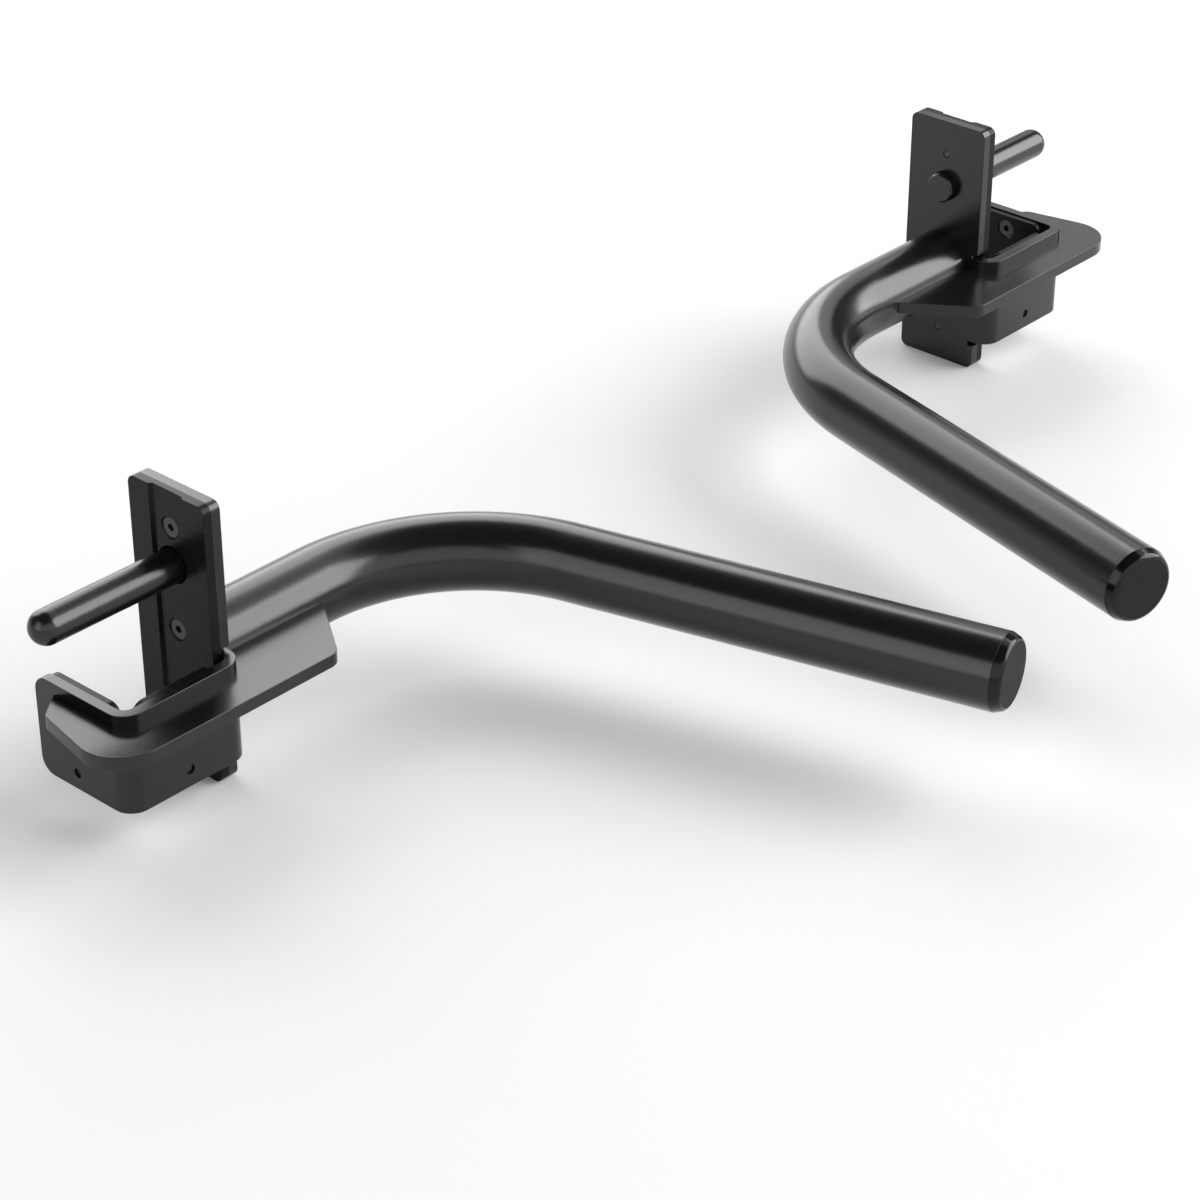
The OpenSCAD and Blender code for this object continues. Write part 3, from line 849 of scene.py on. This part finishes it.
print("a cap is dull from", round(FACE_FULL / MM, 2), "mm outside its bar")

# %% [markdown]
# ### The liner screws
# Seven countersunk socket screws hold the liners of each handle. They are all one screw: a 15 mm cone head
# with a 5 mm hex socket, on an M8 shank whose tip shows in its tapped hole on the outside of the steel, and
# lies deeper there where the liner is thicker. The head's face is bridged from a round ring to a hexagon.

# %% One screw
SCREW_AROUND = 48
SCREW_CREASE = math.radians(28)
SCREW_R = 4
CORE_R = 3.4
TIP_EASE = 0.6
HEAD_LAND = 0.2
HEAD_EASE = 0.15
SOCKET_FLATS = 5
SOCKET_DEPTH = 2.6
SOCKET_EASE = 0.2
SOCKET_CONE = 0.6


def hexagon(flats, k):
    """Radius of a hexagon in the direction of step k."""
    angle = 2 * math.pi * k / SCREW_AROUND
    off_flat = (angle + math.pi / 6) % (math.pi / 3) - math.pi / 6
    return flats / 2 / math.cos(off_flat)


def screw(head_z, tip_z):
    """A liner screw that stands on the steel at z = 0, from tip_z to the head's face at head_z, in mm."""
    under = head_z - HEAD_LAND
    rings = [
        ("round", 0, tip_z), ("round", CORE_R - TIP_EASE, tip_z), ("round", CORE_R, tip_z + TIP_EASE),
        ("round", CORE_R, 0), ("round", SCREW_R, 0), ("round", SCREW_R, under - HEAD_R + SCREW_R),
        ("round", HEAD_R, under), ("round", HEAD_R, head_z - HEAD_EASE),
        ("round", HEAD_R - 0.3 * HEAD_EASE, head_z - 0.3 * HEAD_EASE), ("round", HEAD_R - HEAD_EASE, head_z),
        ("round", HEAD_R - 3 * HEAD_EASE, head_z),
        ("hex", SOCKET_FLATS + 4 * SOCKET_EASE, head_z), ("hex", SOCKET_FLATS + 2 * SOCKET_EASE, head_z),
        ("hex", SOCKET_FLATS, head_z - SOCKET_EASE), ("hex", SOCKET_FLATS, head_z - SOCKET_DEPTH),
        ("hex", 0, head_z - SOCKET_DEPTH - SOCKET_CONE),
    ]
    bm = bmesh.new()
    loops = []
    for kind, size, height in rings:
        loop = []
        for k in range(SCREW_AROUND if size else 1):
            radius = size if kind == "round" else hexagon(size, k)
            angle = 2 * math.pi * k / SCREW_AROUND
            loop.append(bm.verts.new((
                radius * MM * math.cos(angle), radius * MM * math.sin(angle), height * MM
            )))
        loops.append(loop)
    skin(bm, loops, SCREW_AROUND)
    bmesh.ops.recalc_face_normals(bm, faces=bm.faces)
    for face in bm.faces:
        face.smooth = True
    mesh = bpy.data.meshes.new("screw")
    bm.to_mesh(mesh)
    bm.free()
    mesh.set_sharp_from_angle(angle=SCREW_CREASE)
    return bpy.data.objects.new("screw", mesh)


screws = {
    "face_liner_screws": screw(head_z=3.9, tip_z=-7.6),
    "side_liner_screws": screw(head_z=5.2, tip_z=-6.3),
    "back_liner_screws": screw(head_z=5.2, tip_z=-6.3),
}
print("one screw has", len(screws["face_liner_screws"].data.polygons), "faces")

# %% [markdown]
# The screws stand in rows, so a tree repeats one of them: a line of points, a screw on each, turned about its
# own axis by a random angle, because no two hex sockets end up the same way round. The seed is fixed, so
# they come out the same each time.

# %% Tree for a row of screws
HEX_TURN = math.radians(60)
row_tree = bpy.data.node_groups.new("screw_row", "GeometryNodeTree")
row_tree.interface.new_socket("Geometry", in_out="INPUT", socket_type="NodeSocketGeometry")
row_tree.interface.new_socket("Geometry", in_out="OUTPUT", socket_type="NodeSocketGeometry")
row_inputs = add_inputs(row_tree, [
    ("Screw", "NodeSocketObject"), ("Count", "NodeSocketInt"), ("First", "NodeSocketVector"),
    ("Step", "NodeSocketVector"), ("Lean", "NodeSocketVector"), ("Seed", "NodeSocketInt"),
    ("Finish", "NodeSocketMaterial"),
])
nodes = row_tree.nodes
links = row_tree.links
given = nodes.new("NodeGroupInput")
line = nodes.new("GeometryNodeMeshLine")
line.mode = "OFFSET"
which = nodes.new("GeometryNodeObjectInfo")
spin = nodes.new("FunctionNodeRandomValue")
spin.data_type = "FLOAT"
spin.inputs[3].default_value = HEX_TURN
spin_vector = nodes.new("ShaderNodeCombineXYZ")
spin_turn = nodes.new("FunctionNodeEulerToRotation")
lean_turn = nodes.new("FunctionNodeEulerToRotation")
turned = nodes.new("FunctionNodeRotateRotation")
turned.rotation_space = "LOCAL"
stand = nodes.new("GeometryNodeInstanceOnPoints")
real = nodes.new("GeometryNodeRealizeInstances")
finish = nodes.new("GeometryNodeSetMaterial")
made = nodes.new("NodeGroupOutput")
links.new(given.outputs["Count"], line.inputs["Count"])
links.new(given.outputs["First"], line.inputs["Start Location"])
links.new(given.outputs["Step"], line.inputs["Offset"])
links.new(given.outputs["Screw"], which.inputs["Object"])
links.new(given.outputs["Seed"], spin.inputs["Seed"])
links.new(spin.outputs[1], spin_vector.inputs["Z"])
links.new(spin_vector.outputs["Vector"], spin_turn.inputs["Euler"])
links.new(given.outputs["Lean"], lean_turn.inputs["Euler"])
links.new(lean_turn.outputs["Rotation"], turned.inputs["Rotation"])
links.new(spin_turn.outputs["Rotation"], turned.inputs["Rotate By"])
links.new(line.outputs["Mesh"], stand.inputs["Points"])
links.new(which.outputs["Geometry"], stand.inputs["Instance"])
links.new(turned.outputs["Rotation"], stand.inputs["Rotation"])
links.new(stand.outputs["Instances"], real.inputs["Geometry"])
links.new(real.outputs["Geometry"], finish.inputs["Geometry"])
links.new(given.outputs["Finish"], finish.inputs["Material"])
links.new(finish.outputs["Geometry"], made.inputs["Geometry"])
print("screw row tree:", len(nodes), "nodes")

# %% [markdown]
# Each row needs a first point, a step upwards and the direction of its heads: along the pin for the face
# liner, back from the side wall, and towards the plate for the back liner.

# %% Rows of screws
ROWS = {
    "face_liner_screws": {"first": (-7, 0, -129.75), "step": 79, "heads": (1, 0, 0)},
    "side_liner_screws": {"first": (38.9, -44.8, -120.25), "step": 50, "heads": (0, 1, 0)},
    "back_liner_screws": {"first": (84.8, 0, -120.25), "step": 50, "heads": (-1, 0, 0)},
}
seed = 3
for side in MIRROR:
    for part, row in ROWS.items():
        start = place(side) @ (Vector(row["first"]) * MM)
        heads = Vector(row["heads"])
        heads.x *= MIRROR[side]
        seed += 1
        mesh = grow(bpy.data.meshes.new("start"), row_tree, {
            row_inputs["Screw"]: screws[part],
            row_inputs["Count"]: SCREW_COUNTS[part],
            row_inputs["First"]: start,
            row_inputs["Step"]: (0, 0, row["step"] * MM),
            row_inputs["Lean"]: heads.to_track_quat("Z", "Y").to_euler(),
            row_inputs["Seed"]: seed,
            row_inputs["Finish"]: FINISHES["screw_steel"],
        })
        mesh.name = side + "_" + part + "_finished"
        hand_over(side, part, mesh, "screw_steel")
        print(side, part, len(mesh.polygons), "faces")
for kind in screws.values():
    bpy.data.objects.remove(kind)

# %% [markdown]
# ## The size
# The pieces must not grow or shrink the object, so the box of the solids and the box of the finished pieces
# are kept side by side.

# %% Sizes and the end
low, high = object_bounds()
print("finished box, metres:", [round(v, 4) for v in high - low])
